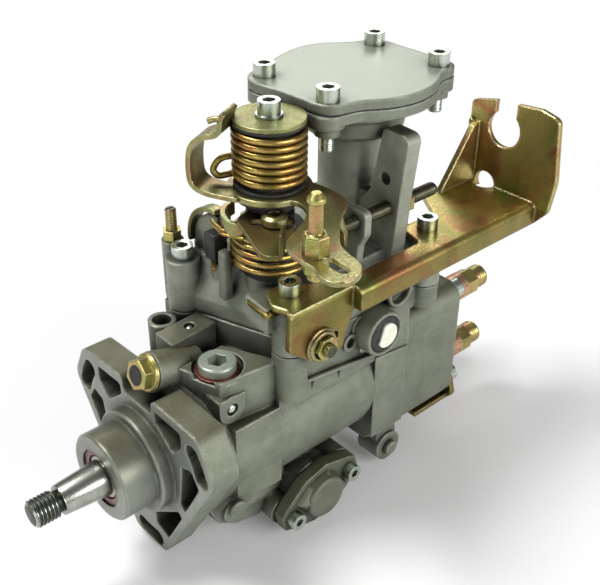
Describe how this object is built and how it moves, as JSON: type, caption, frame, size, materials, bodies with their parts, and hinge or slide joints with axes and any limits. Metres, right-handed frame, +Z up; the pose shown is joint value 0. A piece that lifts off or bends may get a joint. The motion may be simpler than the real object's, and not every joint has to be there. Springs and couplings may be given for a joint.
{
  "type": "diesel injection pump",
  "caption": "Distributor type diesel injection pump with flange mounting, tapered drive shaft, sprung control lever, charge pressure capsule, cable bracket and delivery outlets at the rear.",
  "frame": {"origin": "drive shaft axis at the front face of the mounting flange", "axes": "+X from the drive end to the distributor head, +Z up to the governor cover, -Y the side of the lever stud and cable bracket"},
  "size_m": [0.2712, 0.1412, 0.2142],
  "materials": {
    "cast_aluminium": "sand cast, lightly olive, machined on the faces",
    "seal_rubber": "matt",
    "bronze": "turned",
    "steel": "ground",
    "dark_steel": "dark phosphate",
    "head_steel": "machined, lightly oiled",
    "zinc_steel": "bright zinc",
    "yellow_zinc": "yellow chromated zinc",
    "olive_zinc": "olive chromated zinc",
    "spring_gold": "yellow chromated wire",
    "spring_steel": "drawn wire",
    "copper": "annealed copper",
    "gasket": "matt sheet",
    "black_plastic": "moulded, matt",
    "cream_plastic": "moulded"
  },
  "bodies": {
    "pump": {"pump_housing": "cast_aluminium", "shaft_seal": "seal_rubber", "shaft_bush": "bronze", "vane_cam_ring": "steel", "vane_pump_plate": "steel", "distributor_head": "head_steel", "m6_cap_screws": "zinc_steel", "delivery_valve_holders": "yellow_zinc", "head_plug": "yellow_zinc", "rear_bracket": "yellow_zinc", "governor_cover": "cast_aluminium", "gaskets": "gasket", "boost_housing": "cast_aluminium", "boost_cover": "cast_aluminium", "fuel_inlet_union": "yellow_zinc", "sealing_washers": "copper", "pressure_valve": "steel", "housing_plug": "zinc_steel", "sealing_balls": "steel", "timing_covers": "cast_aluminium", "timing_screws": "zinc_steel", "governor_shaft": "steel", "cable_bracket": "yellow_zinc", "hex_nuts": "yellow_zinc", "adjusting_screws": "dark_steel", "cold_start_plate": "yellow_zinc", "rubber_stop": "seal_rubber", "solenoid_plug": "cream_plastic", "plunger_springs": "spring_steel", "return_spring": "spring_gold", "timing_spring": "spring_steel", "boost_spring": "spring_steel", "governor_spring": "spring_steel"},
    "drive": {"drive_shaft": "steel", "vane_rotor": "steel", "governor_drive_gear": "steel", "cam_plate": "steel", "plunger": "steel"},
    "advance_ring": {"roller_ring": "steel"},
    "advance_piston": {"timing_piston": "steel"},
    "governor": {"governor_carrier": "steel"},
    "weight_1": {"flyweight_1": "steel"},
    "weight_2": {"flyweight_2": "steel"},
    "weight_3": {"flyweight_3": "steel"},
    "weight_4": {"flyweight_4": "steel"},
    "sleeve": {"governor_sleeve": "steel"},
    "lever": {"governor_lever": "steel"},
    "collar": {"spill_collar": "steel"},
    "control": {"throttle_shaft": "steel", "throttle_lever": "yellow_zinc", "torsion_spring": "spring_gold", "spring_rings": "black_plastic", "spring_cap": "yellow_zinc", "cap_screw": "zinc_steel", "adjuster_plate": "olive_zinc", "adjuster_screw": "yellow_zinc", "lever_stud": "yellow_zinc"},
    "boost": {"boost_diaphragm": "seal_rubber", "boost_pin": "steel"},
    "valves": {"delivery_valves": "steel"}
  },
  "joints": [
    {"name": "shaft_spin", "type": "hinge", "parent": "pump", "child": "drive", "pos_m": [0, 0, 0], "axis": [1, 0, 0], "continuous": true},
    {"name": "governor_spin", "type": "hinge", "parent": "pump", "child": "governor", "pos_m": [0.064, 0.012, 0.04531], "axis": [1, 0, 0], "continuous": true},
    {"name": "weight_1_swing", "type": "hinge", "parent": "governor", "child": "weight_1", "pos_m": [0.068, 0.012, 0.05581], "axis": [0, -1, 0], "range_deg": [0, 22.92]},
    {"name": "weight_2_swing", "type": "hinge", "parent": "governor", "child": "weight_2", "pos_m": [0.068, 0.0015, 0.04531], "axis": [0, 0, -1], "range_deg": [0, 22.92]},
    {"name": "weight_3_swing", "type": "hinge", "parent": "governor", "child": "weight_3", "pos_m": [0.068, 0.012, 0.03481], "axis": [0, 1, 0], "range_deg": [0, 22.92]},
    {"name": "weight_4_swing", "type": "hinge", "parent": "governor", "child": "weight_4", "pos_m": [0.068, 0.0225, 0.04531], "axis": [0, 0, 1], "range_deg": [0, 22.92]},
    {"name": "sleeve_slide", "type": "slide", "parent": "pump", "child": "sleeve", "axis": [1, 0, 0], "range_m": [0, 0.00205], "deforming": ["governor_spring"]},
    {"name": "lever_pivot", "type": "hinge", "parent": "pump", "child": "lever", "pos_m": [0.105, 0, 0.029], "axis": [0, 1, 0], "range_deg": [0, 7.02]},
    {"name": "collar_slide", "type": "slide", "parent": "pump", "child": "collar", "axis": [1, 0, 0], "range_m": [-0.0024, 0]},
    {"name": "timing_slide", "type": "slide", "parent": "pump", "child": "advance_piston", "axis": [0, 1, 0], "range_m": [0, 0.006], "deforming": ["timing_spring"]},
    {"name": "ring_turn", "type": "hinge", "parent": "pump", "child": "advance_ring", "pos_m": [0.0735, 0, 0], "axis": [1, 0, 0], "range_deg": [0, 8.8]},
    {"name": "control_lever_turn", "type": "hinge", "parent": "pump", "child": "control", "pos_m": [0.0693, -0.0095, 0.1], "axis": [0, 0, 1], "range_deg": [-48, 0]},
    {"name": "boost_slide", "type": "slide", "parent": "pump", "child": "boost", "axis": [0, 0, -1], "range_m": [0, 0.006], "deforming": ["boost_spring"]},
    {"name": "valve_lift", "type": "slide", "parent": "pump", "child": "valves", "axis": [1, 0, 0], "range_m": [0, 0.0025]}
  ],
  "couplings": [
    {"joint": "governor_spin", "follows": "shaft_spin", "ratio": -1.6786},
    {"joint": "ring_turn", "follows": "timing_slide", "rad_per_m": 25},
    {"joint": "weight_1_swing", "follows": "lever_pivot", "ratio": 3.2626},
    {"joint": "weight_2_swing", "follows": "lever_pivot", "ratio": 3.2626},
    {"joint": "weight_3_swing", "follows": "lever_pivot", "ratio": 3.2626},
    {"joint": "weight_4_swing", "follows": "lever_pivot", "ratio": 3.2626},
    {"joint": "sleeve_slide", "follows": "lever_pivot", "m_per_rad": 0.016313},
    {"joint": "collar_slide", "follows": "lever_pivot", "m_per_rad": -0.019298}
  ]
}
